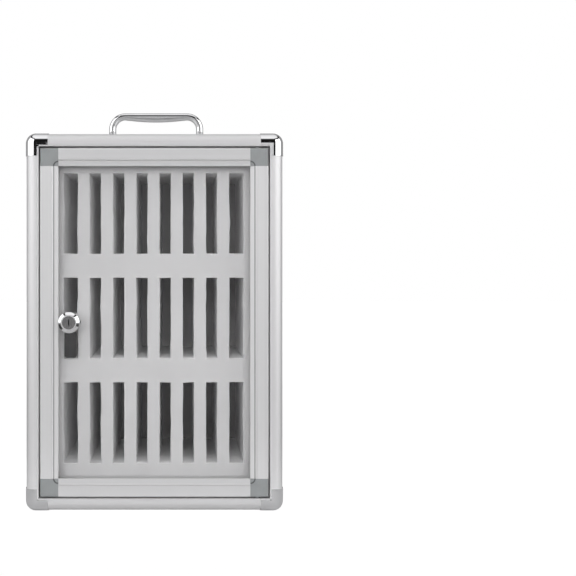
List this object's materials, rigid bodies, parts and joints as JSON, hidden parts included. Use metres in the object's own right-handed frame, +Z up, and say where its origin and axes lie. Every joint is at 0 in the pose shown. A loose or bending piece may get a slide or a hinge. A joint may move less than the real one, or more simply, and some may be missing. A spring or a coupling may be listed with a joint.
{
  "type": "phone locker box",
  "caption": "Aluminium-edged case with a lockable clear door, chrome corner caps, a carrying handle and a foam insert with upright slots for phones.",
  "frame": {"origin": "middle of the footprint, from the lock's face to the rear caps, at the height of the lower caps' undersides", "axes": "+Z up, the door faces -Y, +X to the right as seen from the front"},
  "size_m": [0.2946, 0.2092, 0.4678],
  "materials": {
    "aluminium": "satin, anodised, fine extrusion lines",
    "chrome": "polished",
    "panel": "satin sheet",
    "foam": "matt closed-cell foam",
    "grey_plastic": "fine moulded",
    "dark_plastic": "moulded",
    "clear_pane": "clear acrylic",
    "zinc_steel": "zinc-plated",
    "dark_steel": "black zinc"
  },
  "bodies": {
    "case": {"front_left_rail": "aluminium", "front_right_rail": "aluminium", "front_top_rail": "aluminium", "front_bottom_rail": "aluminium", "rear_left_rail": "aluminium", "rear_right_rail": "aluminium", "rear_top_rail": "aluminium", "rear_bottom_rail": "aluminium", "top_left_rail": "aluminium", "top_right_rail": "aluminium", "bottom_left_rail": "aluminium", "bottom_right_rail": "aluminium", "cap_front_bottom_left": "chrome", "cap_front_bottom_right": "chrome", "cap_front_top_left": "chrome", "cap_front_top_right": "chrome", "cap_rear_bottom_left": "chrome", "cap_rear_bottom_right": "chrome", "cap_rear_top_left": "chrome", "cap_rear_top_right": "chrome", "left_panel": "panel", "right_panel": "panel", "top_panel": "panel", "bottom_panel": "panel", "back_panel": "panel", "handle": "chrome", "handle_washers": "zinc_steel", "handle_screws": "zinc_steel", "slot_face": "foam", "foam_shelves": "foam", "top_row_dividers": "foam", "middle_row_dividers": "foam", "bottom_row_dividers": "foam", "back_pad": "foam", "pivot_bushes": "dark_plastic"},
    "door": {"door_lock_stile": "aluminium", "door_hinge_stile": "aluminium", "door_top_rail": "aluminium", "door_bottom_rail": "aluminium", "door_corner_top_left": "grey_plastic", "door_corner_bottom_left": "grey_plastic", "door_corner_top_right": "grey_plastic", "door_corner_bottom_right": "grey_plastic", "window_pane": "clear_pane", "pivot_pins": "zinc_steel", "lock_housing": "chrome", "lock_nut": "zinc_steel"},
    "lock_turn": {"lock_plug": "chrome", "lock_cam": "dark_steel", "cam_screw": "zinc_steel"}
  },
  "joints": [
    {"name": "door_swing", "type": "hinge", "parent": "case", "child": "door", "pos_m": [0.11715, -0.09015, 0.2158], "axis": [0, 0, 1], "range_deg": [0, 120]},
    {"name": "cam_turn", "type": "hinge", "parent": "door", "child": "lock_turn", "pos_m": [-0.0965, -0.09615, 0.2158], "axis": [0, 1, 0], "range_deg": [0, 90]}
  ]
}
